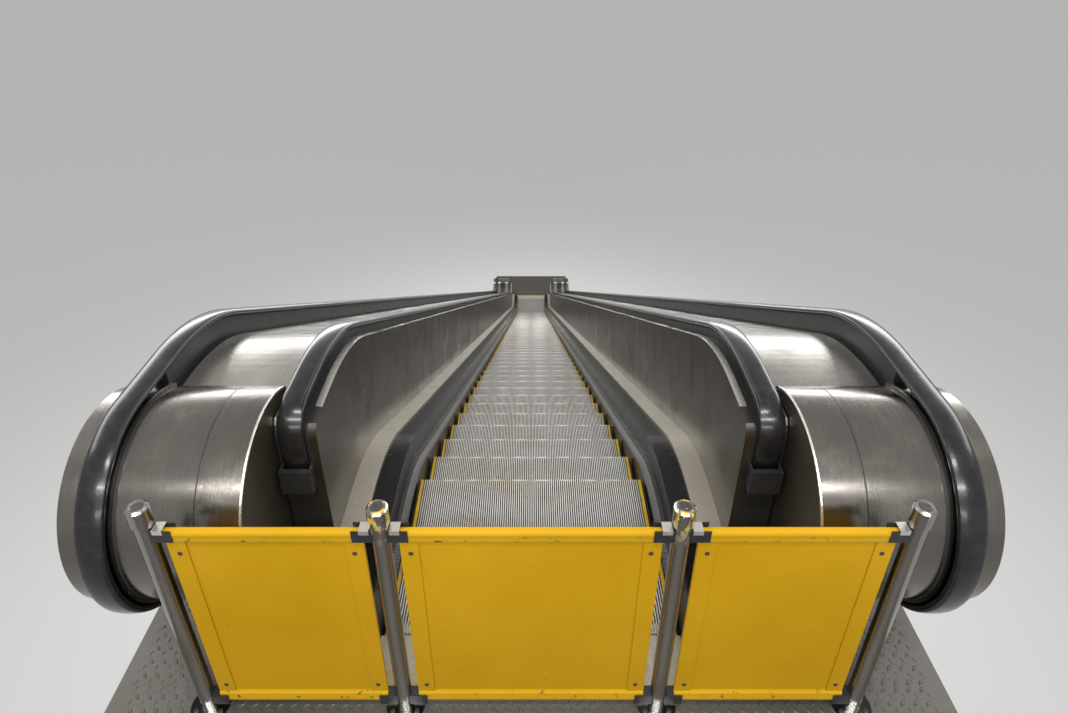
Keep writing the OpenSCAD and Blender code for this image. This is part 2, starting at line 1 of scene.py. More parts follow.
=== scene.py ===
"""Looks of a long escalator seen from its upper landing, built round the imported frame."""
import json
import logging
import math
from dataclasses import dataclass, field
from enum import Enum
from typing import ClassVar

import bmesh
import bpy
from bpy.types import Material, Mesh, Node, NodeSocket, Object
from mathutils import Euler, Matrix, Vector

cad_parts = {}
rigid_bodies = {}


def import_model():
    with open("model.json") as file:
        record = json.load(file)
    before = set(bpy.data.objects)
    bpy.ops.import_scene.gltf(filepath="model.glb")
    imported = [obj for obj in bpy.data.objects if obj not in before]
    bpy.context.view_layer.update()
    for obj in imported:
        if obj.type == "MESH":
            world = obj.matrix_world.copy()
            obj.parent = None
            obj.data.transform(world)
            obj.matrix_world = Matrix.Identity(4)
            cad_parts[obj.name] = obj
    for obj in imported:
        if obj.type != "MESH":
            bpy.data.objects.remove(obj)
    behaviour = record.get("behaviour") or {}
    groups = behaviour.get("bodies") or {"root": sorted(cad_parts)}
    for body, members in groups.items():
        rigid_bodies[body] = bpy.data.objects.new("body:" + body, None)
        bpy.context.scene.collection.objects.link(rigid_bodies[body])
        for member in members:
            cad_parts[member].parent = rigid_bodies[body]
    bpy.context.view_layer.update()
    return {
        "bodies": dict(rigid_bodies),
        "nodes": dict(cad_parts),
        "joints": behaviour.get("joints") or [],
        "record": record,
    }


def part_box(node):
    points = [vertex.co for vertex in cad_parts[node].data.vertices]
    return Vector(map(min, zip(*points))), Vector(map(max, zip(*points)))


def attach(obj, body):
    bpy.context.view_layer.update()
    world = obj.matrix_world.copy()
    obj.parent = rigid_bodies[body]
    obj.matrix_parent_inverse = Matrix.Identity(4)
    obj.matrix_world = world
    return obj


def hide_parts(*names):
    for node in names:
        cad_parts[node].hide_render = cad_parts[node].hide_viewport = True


log = logging.getLogger("escalator")
BMesh = bmesh.types.BMesh

SLOPE = math.radians(30)
SMEAR_YELLOW = (0.50, 0.31, 0.01)
SMEAR_REACH = 0.7
CHAIN_PITCH = 0.404
LEVEL_LEN = 0.41
UPPER_BEND = 0.9
LOWER_BEND = 1.4
COMB_DEPTH = 0.17
STEP_W = 1.0
CLEAT_H = 0.010
NOSE_R = 0.110
NOSE_DROP = 0.150
HAIR = 0.0005
SENSOR_MM = 36.0
BODY = "root"
SIDES = ((-1, "left"), (1, "right"))
CORNERS = ((-1, -1), (1, -1), (1, 1), (-1, 1))
MIX_FACTOR, MIX_FIRST, MIX_SECOND, MIX_RESULT = 0, 6, 7, 2


class Grain(Enum):
    """Direction in which a sheet was brushed."""

    ALONG_FLIGHT = (math.pi / 2 - SLOPE, (38.0, 0.35, 38.0))
    ROUND_DRUM = (0.0, (55.0, 1.2, 1.2))
    UPRIGHT = (0.0, (60.0, 60.0, 0.8))
    ACROSS = (0.0, (0.8, 60.0, 60.0))
    POLISHED = (0.0, (260.0, 260.0, 0.6))


class Num:
    """A number socket with operators, so that shader maths reads as an expression."""

    def __init__(self, graph: "Graph", socket: NodeSocket) -> None:
        """Wrap one output socket of a graph."""
        self.graph = graph
        self.socket = socket

    def _math(self, operation: str, *values: object) -> "Num":
        """Add one Math node and return its result."""
        return self.graph.add("ShaderNodeMath", {"operation": operation}, dict(enumerate(values)))

    def __add__(self, other: object) -> "Num":
        """Sum of two values."""
        return self._math("ADD", self, other)

    def __sub__(self, other: object) -> "Num":
        """Difference of two values."""
        return self._math("SUBTRACT", self, other)

    def __rsub__(self, other: object) -> "Num":
        """Difference with the number first."""
        return self._math("SUBTRACT", other, self)

    def __mul__(self, other: object) -> "Num":
        """Product of two values."""
        return self._math("MULTIPLY", self, other)

    def above(self, edge: float, soft: float) -> "Num":
        """Clamped mask that rises from 0 to 1 round an edge, over twice the soft width."""
        values = {"Value": self, "From Min": edge - soft, "From Max": edge + soft}
        return self.graph.add("ShaderNodeMapRange", {"clamp": True}, values)


class Graph:
    """Node tree of one material, with one method that adds any node."""

    def __init__(self, name: str) -> None:
        """Start a material with a Principled shader."""
        self.material = bpy.data.materials.new(name)
        self.material.use_nodes = True
        self.tree = self.material.node_tree
        self.tree.nodes.clear()
        self.out = self.tree.nodes.new("ShaderNodeOutputMaterial")
        self.shader = self.tree.nodes.new("ShaderNodeBsdfPrincipled")
        self.tree.links.new(self.shader.outputs[0], self.out.inputs["Surface"])
        coords = self.tree.nodes.new("ShaderNodeTexCoord")
        self.place = Num(self, coords.outputs["Object"])

    def put(self, socket: NodeSocket, value: object) -> None:
        """Link a wrapped socket or set a plain value."""
        if isinstance(value, Num):
            self.tree.links.new(value.socket, socket)
        else:
            socket.default_value = value

    def add(self, kind: str, settings: dict, values: dict, output: object = 0) -> Num:
        """Add a node.

        Args:
            kind: the node's type.
            settings: attributes that are set first.
            values: links or numbers by socket name or index.
            output: name or index of the output that is returned.

        Returns:
            The chosen output, wrapped.
        """
        node = self.tree.nodes.new(kind)
        for key, value in settings.items():
            setattr(node, key, value)
        for key, value in values.items():
            self.put(node.inputs[key], value)
        return Num(self, node.outputs[output])
    def mapped(self, scale: tuple, turn: float = 0.0) -> Num:
        """Object coordinates turned about X by an angle in radians and then stretched."""
        values = {"Vector": self.place, "Rotation": (turn, 0, 0)}
        turned = self.add("ShaderNodeMapping", {"vector_type": "POINT"}, values)
        return self.add("ShaderNodeVectorMath", {"operation": "MULTIPLY"}, {0: turned, 1: scale})

    def noise(self, vector: Num, scale: float, detail: float = 4.0, rough: float = 0.5) -> Num:
        """Noise between 0 and 1 at a scale."""
        values = {"Vector": vector, "Scale": scale, "Detail": detail, "Roughness": rough}
        return self.add("ShaderNodeTexNoise", {}, values)

    def mix(self, factor: object, first: object, second: object) -> Num:
        """Mix two colours, each a wrapped socket or a red, green and blue value."""
        one, two = (value if isinstance(value, Num) else (*value, 1) for value in (first, second))
        values = {MIX_FACTOR: factor, MIX_FIRST: one, MIX_SECOND: two}
        return self.add("ShaderNodeMix", {"data_type": "RGBA"}, values, MIX_RESULT)

    def bump(self, height: Num, strength: float, distance: float) -> None:
        """Feed a height through a Bump node into the shader's normal."""
        normal = self.add(
            "ShaderNodeBump", {}, {"Height": height, "Strength": strength, "Distance": distance})
        self.put(self.shader.inputs["Normal"], normal)

    def finish(self, **values: object) -> Material:
        """Set the shader's sockets, with spaces in the names written as underscores."""
        for key, value in values.items():
            socket = self.shader.inputs[key.replace("_", " ")]
            self.put(socket, (*value, 1) if isinstance(value, tuple) else value)
        return self.material


def shade(colour: tuple, factor: float, lift: float = 0.0) -> tuple:
    """Return a colour times a factor plus a lift, at most 1."""
    return tuple(min(1.0, c * factor + lift) for c in colour)


@dataclass(frozen=True)
class BrushedSteel:
    """Stainless sheet with a brushed grain, pale clouds that paint highlights and vary the roughness,
    and grime.
    """

    name: str
    colour: tuple
    grain: Grain
    rough: float = 0.34
    grime: float = 0.35
    grime_colour: tuple = (0.12, 0.095, 0.07)
    metallic: float = 0.9
    painted_highlight: float = 0.0
    relief: float = 0.12
    smeared_above: float = 0.0

    def build(self) -> Material:
        """Return the material."""
        g = Graph(self.name)
        turn, stretch = self.grain.value
        lines = g.noise(g.mapped(stretch, turn), 9.0, 6.0, 0.7)
        highlight_and_roughness_clouds = g.noise(g.place, 1.6, 5.0, 0.6)
        stains = g.noise(g.place, 5.5, 6.0, 0.65).above(0.60, 0.12)
        base = g.mix(lines.above(0.5, 0.25), shade(self.colour, 0.72), self.colour)
        # Paler clouds at 1.8 times the colour paint highlights on the sheet; the amount is set per
        # finish.
        base = g.mix(highlight_and_roughness_clouds.above(0.5, 0.16) * self.painted_highlight, base, shade(self.colour, 1.8))
        base = g.mix(stains * self.grime, base, self.grime_colour)
        rough = lines * 0.16 + highlight_and_roughness_clouds * 0.2 + stains * 0.12 + (self.rough - 0.16)
        metallic = self.metallic
        if self.smeared_above:
            smear = self.smear(g)
            base = g.mix(smear, base, SMEAR_YELLOW)
            metallic = (1.0 - smear) * self.metallic
        g.bump(lines, self.relief, 0.002)
        return g.finish(Base_Color=base, Metallic=metallic, Roughness=rough)

    def smear(self, g: Graph) -> Num:
        """Mask of the yellow paint rubbed onto the tops of the middle posts."""
        x, z = (g.add("ShaderNodeSeparateXYZ", {}, {0: g.place}, axis) for axis in (0, 2))
        middle = 1.0 - (x * x).above(SMEAR_REACH * SMEAR_REACH, 0.01)
        patches = g.noise(g.mapped((9.0, 9.0, 4.0)), 5.0, 5.0, 0.6).above(0.53, 0.04)
        return patches * middle * z.above(self.smeared_above, 0.05)


@dataclass(frozen=True)
class Paint:
    """Painted metal with scuffs, chips down to a second colour and dust."""

    name: str
    colour: tuple
    chip_colour: tuple
    chips: float = 0.68
    rough: float = 0.42
    coat: float = 0.0
    scuff: float = 0.25
    shine: float = 0.4

    def build(self) -> Material:
        """Return the material."""
        g = Graph(self.name)
        tone = g.noise(g.place, 2.2, 5.0, 0.6)
        scratch = g.noise(g.mapped((8.0, 1.5, 90.0), 0.35), 2.6, 5.0, 0.75).above(0.66, 0.03)
        chip = g.noise(g.place, 34.0, 8.0, 0.7).above(self.chips, 0.015)
        dust = g.noise(g.place, 12.0, 8.0, 0.7)
        base = g.mix(tone, shade(self.colour, 0.78), shade(self.colour, 1.15, 0.01))
        base = g.mix(scratch * self.scuff, base, shade(self.colour, 0.5, 0.22))
        base = g.mix(chip, base, self.chip_colour)
        g.bump(dust * 0.4 - chip, 0.25, 0.0012)
        rough = dust * 0.2 + chip * 0.25 + (self.rough - 0.1)
        return g.finish(Base_Color=base, Roughness=rough, Coat_Weight=self.coat, Coat_Roughness=0.12,
                        Specular_IOR_Level=self.shine)


@dataclass(frozen=True)
class StepMetal:
    """Cast aluminium of the treads with tan stains and darker valleys."""

    name: str
    colour: tuple
    stain: tuple
    rough: float = 0.48
    cover: float = 0.75

    def build(self) -> Material:
        """Return the material."""
        g = Graph(self.name)
        patches = g.noise(g.mapped((1.6, 5.0, 5.0)), 1.5, 6.0, 0.65)
        specks = g.noise(g.place, 60.0, 6.0, 0.7)
        wear = g.noise(g.mapped((14.0, 2.0, 2.0)), 3.0, 5.0, 0.7)
        base = g.mix(patches.above(0.58, 0.12) * self.cover, self.colour, self.stain)
        base = g.mix(specks.above(0.62, 0.1) * 0.5, base, shade(self.colour, 0.45))
        base = g.mix(wear.above(0.6, 0.08) * 0.4, base, shade(self.colour, 1.5))
        g.bump(specks, 0.3, 0.0008)
        return g.finish(Base_Color=base, Metallic=0.6, Roughness=specks * 0.25 + (self.rough - 0.1))


@dataclass(frozen=True)
class WornYellow:
    """Yellow safety paint worn down to the metal where feet pass."""

    name: str
    colour: tuple = (0.66, 0.41, 0.012)
    metal: tuple = (0.34, 0.32, 0.27)

    def build(self) -> Material:
        """Return the material."""
        g = Graph(self.name)
        worn = g.noise(g.mapped((9.0, 4.0, 4.0)), 4.0, 8.0, 0.75).above(0.57, 0.05)
        tone = g.noise(g.place, 25.0, 4.0)
        base = g.mix(tone, shade(self.colour, 0.7), self.colour)
        base = g.mix(worn, base, self.metal)
        g.bump(tone * 0.5 - worn, 0.3, 0.0008)
        return g.finish(Base_Color=base, Metallic=worn * 0.7, Roughness=worn * 0.1 + 0.42)


@dataclass(frozen=True)
class Rubber:
    """Polished black rubber with faint dust and fine scratches along the belt."""

    name: str
    colour: tuple = (0.008, 0.008, 0.009)

    def build(self) -> Material:
        """Return the material."""
        g = Graph(self.name)
        dust = g.noise(g.place, 18.0, 8.0, 0.75)
        lines = g.noise(g.mapped((90.0, 0.8, 90.0), math.pi / 2 - SLOPE), 4.0, 4.0, 0.7)
        base = g.mix(dust.above(0.62, 0.15) * 0.35, self.colour, (0.05, 0.046, 0.042))
        rough = dust * 0.16 + lines * 0.1 + 0.1
        g.bump(lines, 0.06, 0.001)
        return g.finish(Base_Color=base, Roughness=rough, Coat_Weight=0.15, Coat_Roughness=0.08,
                        Specular_IOR_Level=0.4)


FINISHES = {
    "floor_plate": BrushedSteel("plate_worn", (0.145, 0.134, 0.122), Grain.ACROSS, 0.5, 0.6,
                                metallic=0.75),
    "comb_metal": StepMetal("comb_cast", (0.52, 0.48, 0.38), (0.50, 0.36, 0.08), 0.42),
    "step_metal": StepMetal("step_valley", (0.060, 0.058, 0.054), (0.11, 0.085, 0.055), 0.6),
    "track_steel": Paint("track_primer", (0.07, 0.07, 0.072), (0.14, 0.09, 0.06)),
    "housing_paint": Paint("housing_grey", (0.24, 0.25, 0.26), (0.12, 0.08, 0.05), 0.72),
    "skirt_black": Paint("skirt_satin", (0.009, 0.009, 0.009), (0.09, 0.08, 0.07), 0.74, 0.22,
                         scuff=0.05, shine=0.06),
    "brush_grey": BrushedSteel("brush_rail", (0.11, 0.107, 0.10), Grain.ALONG_FLIGHT, 0.36, 0.3),
    "bright_strip": BrushedSteel("strip_bright", (0.62, 0.575, 0.48), Grain.ALONG_FLIGHT, 0.36, 0.2),
    # painted highlight clouds on the inner panels
    "panel_steel": BrushedSteel("panel_brushed", (0.105, 0.093, 0.081), Grain.ALONG_FLIGHT, 0.28, 0.35,
                                painted_highlight=0.4),
    "core_black": Paint("guide_black", (0.012, 0.012, 0.012), (0.06, 0.06, 0.06), 0.75),
    # painted highlight clouds on the deck
    "deck_steel": BrushedSteel("deck_brushed", (0.27, 0.256, 0.233), Grain.ALONG_FLIGHT, 0.25, 0.45,
                               painted_highlight=0.8),
    "cladding_steel": BrushedSteel("cladding_brushed", (0.42, 0.40, 0.365), Grain.UPRIGHT, 0.4, 0.25),
    "handrail_rubber": Rubber("rail_rubber"),
    "newel_steel": BrushedSteel("newel_brushed", (0.25, 0.233, 0.209), Grain.ROUND_DRUM, 0.17, 0.12,
                                metallic=1.0, relief=0.035),
    "newel_face_steel": BrushedSteel("face_satin", (0.15, 0.13, 0.10), Grain.UPRIGHT, 0.36, 0.35),
    "pedestal_steel": BrushedSteel("pedestal_satin", (0.34, 0.31, 0.26), Grain.UPRIGHT, 0.4, 0.3),
    "inlet_black": Paint("inlet_moulded", (0.014, 0.014, 0.015), (0.03, 0.03, 0.03), 0.8, 0.4),
    "box_grey": Paint("box_enamel", (0.035, 0.038, 0.042), (0.15, 0.15, 0.15), 0.74, 0.35, 0.3),
    "truss_paint": Paint("truss_grey", (0.22, 0.24, 0.26), (0.13, 0.07, 0.04), 0.69),
    "post_steel": BrushedSteel("post_polished", (0.40, 0.39, 0.372), Grain.POLISHED, 0.14, 0.03,
                               metallic=1.0, relief=0.03, smeared_above=12.49),
    "board_yellow": Paint("board_amber", (0.42, 0.232, 0.0), (0.07, 0.055, 0.03), 0.70, 0.46,
                          scuff=0.12, shine=0.1),
    "clip_black": Paint("clip_moulded", (0.012, 0.012, 0.013), (0.04, 0.04, 0.04), 0.8, 0.42),
}
ADDED = {
    "cleat_metal": StepMetal("cleat_cast", (0.80, 0.775, 0.74), (0.56, 0.46, 0.31), 0.34, 0.5),
    "nose_metal": StepMetal("nose_polished", (0.78, 0.75, 0.68), (0.60, 0.52, 0.38), 0.3),
    "edge_yellow": WornYellow("edge_yellow"),
    "roll_yellow": Paint("roll_amber", (0.46, 0.262, 0.0), (0.09, 0.062, 0.03), 0.615, 0.42,
                         scuff=0.35, shine=0.2),
    "bristle": Paint("bristle_grey", (0.12, 0.12, 0.117), (0.17, 0.165, 0.155), 0.6, 0.6),
    "bright_edge": BrushedSteel("edge_bright", (0.82, 0.79, 0.72), Grain.UPRIGHT, 0.2, 0.15),
    "screw_dark": Paint("screw_dark", (0.03, 0.028, 0.026), (0.2, 0.19, 0.17), 0.64, 0.35),
}


class Workshop:
    """Materials made once, and helpers that turn meshes into pieces on the frame."""

    def __init__(self, frame: dict) -> None:
        """Make every finish and remember the frame."""
        self.frame = frame
        self.looks = {name: finish.build() for name, finish in {**FINISHES, **ADDED}.items()}

    def dress_frame(self) -> None:
        """Give every carried-over node the finish of its own slot."""
        for part in self.frame["record"]["subparts"]:
            node = self.frame["nodes"].get(part["node"])
            if node is None:
                continue
            node.data.materials.clear()
            node.data.materials.append(self.looks[part["material_slot"]])

    def piece(self, name: str, mesh: Mesh, look: str) -> Object:
        """Link a mesh as a piece that rides on the machine.

        Args:
            name: name of the piece.
            mesh: its mesh, with its place in it.
            look: name of its finish.

        Returns:
            The new object.
        """
        made = bpy.data.objects.new(name, mesh)
        bpy.context.scene.collection.objects.link(made)
        mesh.materials.clear()
        mesh.materials.append(self.looks[look])
        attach(made, BODY)
        log.info("%s: %d faces", name, len(mesh.polygons))
        return made


def mesh_from(build: object, name: str, smooth: bool = False) -> Mesh:
    """Run a function that fills a bmesh and return the mesh with its normals outwards."""
    bm = bmesh.new()
    build(bm)
    bmesh.ops.recalc_face_normals(bm, faces=bm.faces)
    for face in bm.faces:
        face.smooth = smooth
    mesh = bpy.data.meshes.new(name)
    bm.to_mesh(mesh)
    bm.free()
    return mesh


def skin(bm: BMesh, first: list, second: list) -> None:
    """Join two closed rings of vertices with quads."""
    for i in range(len(first)):
        j = (i + 1) % len(first)
        bm.faces.new((first[i], first[j], second[j], second[i]))


def prism(bm: BMesh, outline: list, x0: float, x1: float) -> None:
    """Add a closed prism along X from a (y, z) outline."""
    ends = [[bm.verts.new((x, y, z)) for y, z in outline] for x in (x0, x1)]
    bm.faces.new(ends[0])
    bm.faces.new(list(reversed(ends[1])))
    skin(bm, ends[1], ends[0])


def sweep(outline: list, x: float, path: list) -> object:
    """Return a builder that sweeps an outline along a path.

    Args:
        outline: points as (outwards, across).
        x: the path's place across the machine.
        path: points (y, z, tangent angle).

    Returns:
        The bmesh builder.
    """
    def build(bm: BMesh) -> None:
        """Add the rings and the skin between them."""
        rings = []
        for y, z, angle in path:
            n = (-math.sin(angle), math.cos(angle))
            rings.append([bm.verts.new((x + w, y + o * n[0], z + o * n[1])) for o, w in outline])
        for first, second in zip(rings, rings[1:]):
            skin(bm, first, second)
        bm.faces.new(rings[0])
        bm.faces.new(list(reversed(rings[-1])))

    return build


def boards() -> list:
    """Return the lower and upper corner of every barrier board's box, and its middle y."""
    boxes = (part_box(f"barrier_board_{label}") for label in ("left", "centre", "right"))
    return [(low, high, (low.y + high.y) / 2) for low, high in boxes]


class Repeater:
    """Geometry Nodes trees that repeat a small item and are then made plain meshes."""

    def __init__(self, name: str) -> None:
        """Start a tree with geometry, item, count, pitch and material inputs."""
        self.tree = bpy.data.node_groups.new(name, "GeometryNodeTree")
        self.joined = False
        face = self.tree.interface
        kinds = (("Geometry", "NodeSocketGeometry"), ("Item", "NodeSocketObject"),
                 ("Count", "NodeSocketInt"), ("Pitch", "NodeSocketFloat"),
                 ("Material", "NodeSocketMaterial"))
        self.ids = {n: face.new_socket(n, in_out="INPUT", socket_type=k).identifier for n, k in kinds}
        face.new_socket("Geometry", in_out="OUTPUT", socket_type="NodeSocketGeometry")
        self.given = self.node("NodeGroupInput").outputs
        self.sink = self.node("NodeGroupOutput")

    def node(self, kind: str, **settings: object) -> Node:
        """Add a node with settings."""
        made = self.tree.nodes.new(kind)
        for key, value in settings.items():
            setattr(made, key, value)
        return made

    def link(self, start: object, end: object) -> None:
        """Join two sockets."""
        self.tree.links.new(start, end)

    def math(self, operation: str, first: object, second: object) -> NodeSocket:
        """Add a Math node on sockets or numbers and return its result."""
        made = self.node("ShaderNodeMath", operation=operation)
        for socket, value in zip(made.inputs, (first, second)):
            if isinstance(value, float):
                socket.default_value = value
            else:
                self.link(value, socket)
        return made.outputs[0]

    def item(self) -> NodeSocket:
        """Return the item's geometry."""
        info = self.node("GeometryNodeObjectInfo", transform_space="ORIGINAL")
        self.link(self.given["Item"], info.inputs["Object"])
        return info.outputs["Geometry"]

    def stand(self, points: NodeSocket, item: NodeSocket) -> NodeSocket:
        """Stand an item on every point."""
        made = self.node("GeometryNodeInstanceOnPoints")
        self.link(points, made.inputs["Points"])
        self.link(item, made.inputs["Instance"])
        return made.outputs[0]

    def close(self, geometry: NodeSocket) -> None:
        """Realize instances, set the material and join the output."""
        real = self.node("GeometryNodeRealizeInstances")
        paint = self.node("GeometryNodeSetMaterial")
        self.link(geometry, real.inputs[0])
        self.link(real.outputs[0], paint.inputs["Geometry"])
        self.link(self.given["Material"], paint.inputs["Material"])
        self.link(paint.outputs[0], self.sink.inputs[0])

    def rows(self) -> "Repeater":
        """Finish the tree as rows along X whose middles stand on the points of the input."""
        line = self.node("GeometryNodeMeshLine", mode="OFFSET")
        offset = self.node("ShaderNodeCombineXYZ")
        start = self.node("ShaderNodeCombineXYZ")
        half = self.math("MULTIPLY", self.given["Pitch"], 0.5)
        first = self.math("MULTIPLY", self.math("SUBTRACT", 1.0, self.given["Count"]), half)
        self.link(self.given["Pitch"], offset.inputs["X"])
        self.link(first, start.inputs["X"])
        self.link(self.given["Count"], line.inputs["Count"])
        self.link(offset.outputs[0], line.inputs["Offset"])
        self.link(start.outputs[0], line.inputs["Start Location"])
        row = self.stand(line.outputs[0], self.item())
        self.close(self.stand(self.given["Geometry"], row))
        return self

    def along(self) -> "Repeater":
        """Finish the tree as items at an even pitch along the joined points of the input."""
        self.joined = True
        curve = self.node("GeometryNodeMeshToCurve")
        even = self.node("GeometryNodeResampleCurve")
        length = self.node("GeometryNodeCurveLength")
        self.link(self.given["Geometry"], curve.inputs[0])
        self.link(curve.outputs[0], length.inputs[0])
        self.link(curve.outputs[0], even.inputs["Curve"])
        self.link(self.math("DIVIDE", length.outputs[0], self.given["Pitch"]), even.inputs["Count"])
        self.close(self.stand(even.outputs[0], self.item()))
        return self

    def run(self, shop: Workshop, name: str, points: list, item: Mesh, look: str,
            count: int = 1, pitch: float = 0.1) -> None:
        """Repeat an item on points or along them and keep the plain mesh as a piece.

        Args:
            shop: the workshop that links the piece.
            name: the piece's name.
            points: places in the machine's frame, in order where the tree joins them.
            item: mesh that is repeated.
            look: name of the piece's finish.
            count: items in a row.
            pitch: distance between items.
        """
        edges = list(zip(range(len(points)), range(1, len(points)))) if self.joined else []
        base = bpy.data.meshes.new(name + "_base")
        base.from_pydata(points, edges, [])
        host = bpy.data.objects.new(name + "_host", base)
        pattern = bpy.data.objects.new(name + "_item", item)
        for made in (host, pattern):
            bpy.context.scene.collection.objects.link(made)
        modifier = host.modifiers.new("repeat", "NODES")
        modifier.node_group = self.tree
        modifier[self.ids["Item"]] = pattern
        modifier[self.ids["Count"]] = count
        modifier[self.ids["Pitch"]] = pitch
        modifier[self.ids["Material"]] = shop.looks[look]
        graph = bpy.context.evaluated_depsgraph_get()
        mesh = bpy.data.meshes.new_from_object(host.evaluated_get(graph))
        mesh.name = name
        for made in (host, pattern):
            bpy.data.objects.remove(made)
        shop.piece(name, mesh, look)


@dataclass
class FlightLine:
    """The step line: level, upper bend, incline, lower bend, level."""

    z_top: float
    z_low: float
    comb_top: float
    comb_low: float
    upper_tan: float = field(init=False)
    lower_tan: float = field(init=False)
    meet_top: float = field(init=False)
    meet_low: float = field(init=False)

    def __post_init__(self) -> None:
        """Work out where the bends begin and end."""
        self.upper_tan = UPPER_BEND * math.tan(SLOPE / 2)
        self.lower_tan = LOWER_BEND * math.tan(SLOPE / 2)
        self.meet_top = self.comb_top + LEVEL_LEN + self.upper_tan
        self.meet_low = self.meet_top + (self.z_top - self.z_low) / math.tan(SLOPE)

    def upper(self, angle: float, lift: float) -> tuple:
        """Point of the upper bend at an angle past its start."""
        y = self.meet_top - self.upper_tan + UPPER_BEND * math.sin(angle)
        return (y, self.z_top + lift - UPPER_BEND + UPPER_BEND * math.cos(angle), -angle)

    def lower(self, angle: float, lift: float) -> tuple:
        """Point of the lower bend at an angle before its end."""
        y = self.meet_low + self.lower_tan - LOWER_BEND * math.sin(angle)
        return (y, self.z_low + lift + LOWER_BEND - LOWER_BEND * math.cos(angle), -angle)

    def points(self, lift: float, y0: float, y1: float, parts: int = 16) -> list:
        """Points (y, z, tangent angle) of the line at a height above the steps.

        Args:
            lift: height above the nosing line.
            y0: start at the upper level.
            y1: end at the lower level.
            parts: pieces of each bend.

        Returns:
            The points in order down the flight.
        """
        made = [(y0, self.z_top + lift, 0.0)]
        made += [self.upper(SLOPE * i / parts, lift) for i in range(parts + 1)]
        made += [self.lower(SLOPE * i / parts, lift) for i in range(parts, -1, -1)]
        made.append((y1, self.z_low + lift, 0.0))
        return made

    def nosings(self) -> list:
        """Nosing (y, z) of every step, one chain pitch apart along the line."""
        top_arc = UPPER_BEND * SLOPE
        low_arc = LOWER_BEND * SLOPE
        incline = (self.meet_low - self.meet_top) / math.cos(SLOPE) - self.upper_tan - self.lower_tan
        foot = top_arc + incline
        made = []
        s = CHAIN_PITCH - LEVEL_LEN
        while True:
            if s < 0:
                y, z = self.meet_top - self.upper_tan + s, self.z_top
            elif s < top_arc:
                y, z, _ = self.upper(s / UPPER_BEND, 0)
            elif s < foot:
                y, z, _ = self.upper(SLOPE, 0)
                y += (s - top_arc) * math.cos(SLOPE)
                z -= (s - top_arc) * math.sin(SLOPE)
            elif s < foot + low_arc:
                y, z, _ = self.lower(SLOPE - (s - foot) / LOWER_BEND, 0)
            else:
                y = self.meet_low + self.lower_tan + s - foot - low_arc
                z = self.z_low
            if y > self.comb_low:
                return made
            made.append((y, z))
            s += CHAIN_PITCH


@dataclass
class Treads:
    """Cleats and worn yellow edges on top of the steps."""

    line: FlightLine
    pitch: float = 0.009
    cleat_w: float = 0.0034
    length: float = 0.396
    yellow_rows: int = 2
    chamfer: float = 0.0022

    def cleat(self, width: float) -> Mesh:
        """Mesh of one cleat whose nosing is at the origin."""
        c = self.chamfer
        outline = [(-HAIR, -CLEAT_H), (-HAIR, -c), (-c, 0), (-self.length + c, 0),
                   (-self.length, -c), (-self.length, -CLEAT_H)]
        return mesh_from(lambda bm: prism(bm, outline, -width / 2, width / 2), "cleat")

    def nose(self) -> Mesh:
        """Mesh of the polished front of one cleat, a little wider and higher than it."""
        c, w = self.chamfer, self.cleat_w / 2 + 0.0002
        lift, depth = 0.0003, 0.007
        outline = [(0.0, -CLEAT_H), (0.0, -c), (-c, lift), (-depth, lift), (-depth, -CLEAT_H)]
        return mesh_from(lambda bm: prism(bm, outline, -w, w), "nose")

    def build(self, shop: Workshop, rows: Repeater) -> None:
        """Make the cleats, their polished noses, and the yellow strips along both edges."""
        places = self.line.nosings()
        total = int(STEP_W / self.pitch) - 1
        total -= 1 - total % 2
        middle = total - 2 * self.yellow_rows
        half = len(places) // 2
        points = [(0.0, y, z) for y, z in places]
        for name, part in (("cleats_upper", points[:half]), ("cleats_lower", points[half:])):
            rows.run(shop, name, part, self.cleat(self.cleat_w), "cleat_metal",
                     middle, self.pitch)
        rows.run(shop, "cleat_noses", points, self.nose(), "nose_metal",
                 middle, self.pitch)
        offset = (middle + self.yellow_rows) / 2 * self.pitch
        points = [(s * offset, y, z) for y, z in places for s in (-1, 1)]
        solid = self.yellow_rows * self.pitch - (self.pitch - self.cleat_w)
        rows.run(shop, "cleats_yellow", points, self.cleat(solid), "edge_yellow")


@dataclass
class SkirtBrush:
    """Bristles that reach over the step edges from the brush rails."""

    line: FlightLine
    reach: float = 0.022
    droop: float = 0.006
    root: float = 0.0026
    taper: float = 0.55
    pitch: float = 0.009
    inset: float = 0.012
    lifts: tuple = (0.104, 0.117)

    def tuft(self, side: int) -> Mesh:
        """Mesh of one flat tuft that points towards the middle."""
        r, tip = self.root, self.root * self.taper

        def build(bm: BMesh) -> None:
            """Add a four-sided tapered tuft, open at its root."""
            root = [bm.verts.new((0, a * r, b * r)) for a, b in CORNERS]
            end = [bm.verts.new((-side * self.reach, a * tip, b * tip - self.droop))
                   for a, b in CORNERS]
            bm.faces.new(end)
            skin(bm, root, end)

        return mesh_from(build, "tuft")

    def build(self, shop: Workshop, along: Repeater) -> None:
        """Make both rows of bristles in two layers."""
        low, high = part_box("skirt_brush_rails")
        for side, label in SIDES:
            x = side * (high.x - self.inset)
            for layer, lift in enumerate(self.lifts, 1):
                path = self.line.points(lift, low.y + 0.01, high.y - 0.01)
                along.run(shop, f"bristles_{label}_{layer}", [(x, y, z) for y, z, _ in path],
                          self.tuft(side), "bristle", 1, self.pitch)


